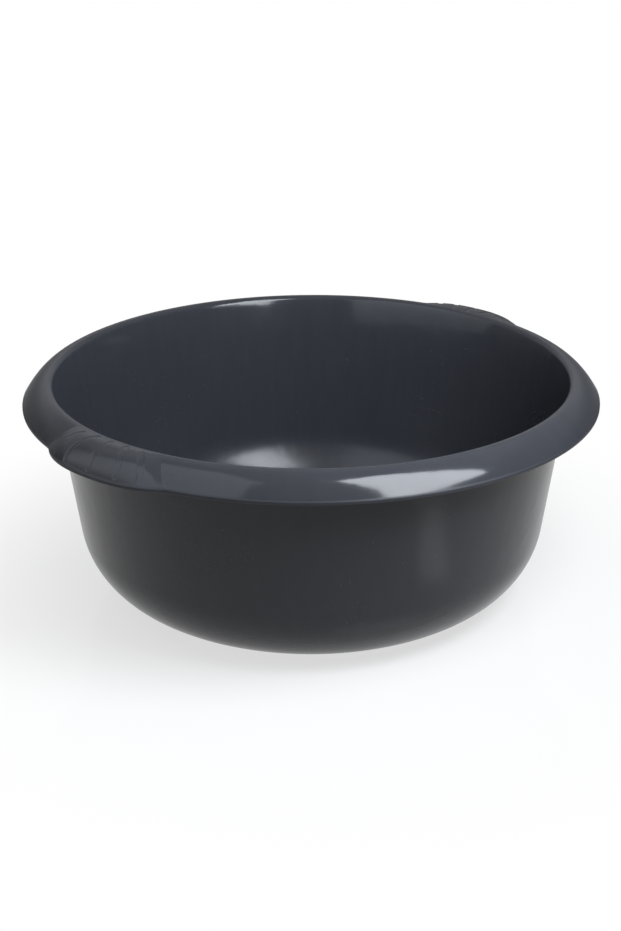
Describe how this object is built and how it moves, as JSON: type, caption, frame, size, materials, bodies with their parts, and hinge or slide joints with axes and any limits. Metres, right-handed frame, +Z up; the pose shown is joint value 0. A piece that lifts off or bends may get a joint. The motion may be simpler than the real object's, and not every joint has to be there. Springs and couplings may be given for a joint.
{
  "type": "plastic basin",
  "caption": "Round washing-up basin moulded in one piece, with a tapering wall, a rolled rim and a grooved grip on each side of the rim.",
  "frame": {"origin": "middle of the base, on the surface that the basin stands on", "axes": "+Z up along the basin's axis; +X out through the middle of one grip, -X through the other"},
  "size_m": [0.3338, 0.32, 0.1276],
  "materials": {
    "dark_grey_plastic": "satin dark grey polypropylene"
  },
  "bodies": {
    "root": {"basin": "dark_grey_plastic"}
  },
  "joints": []
}
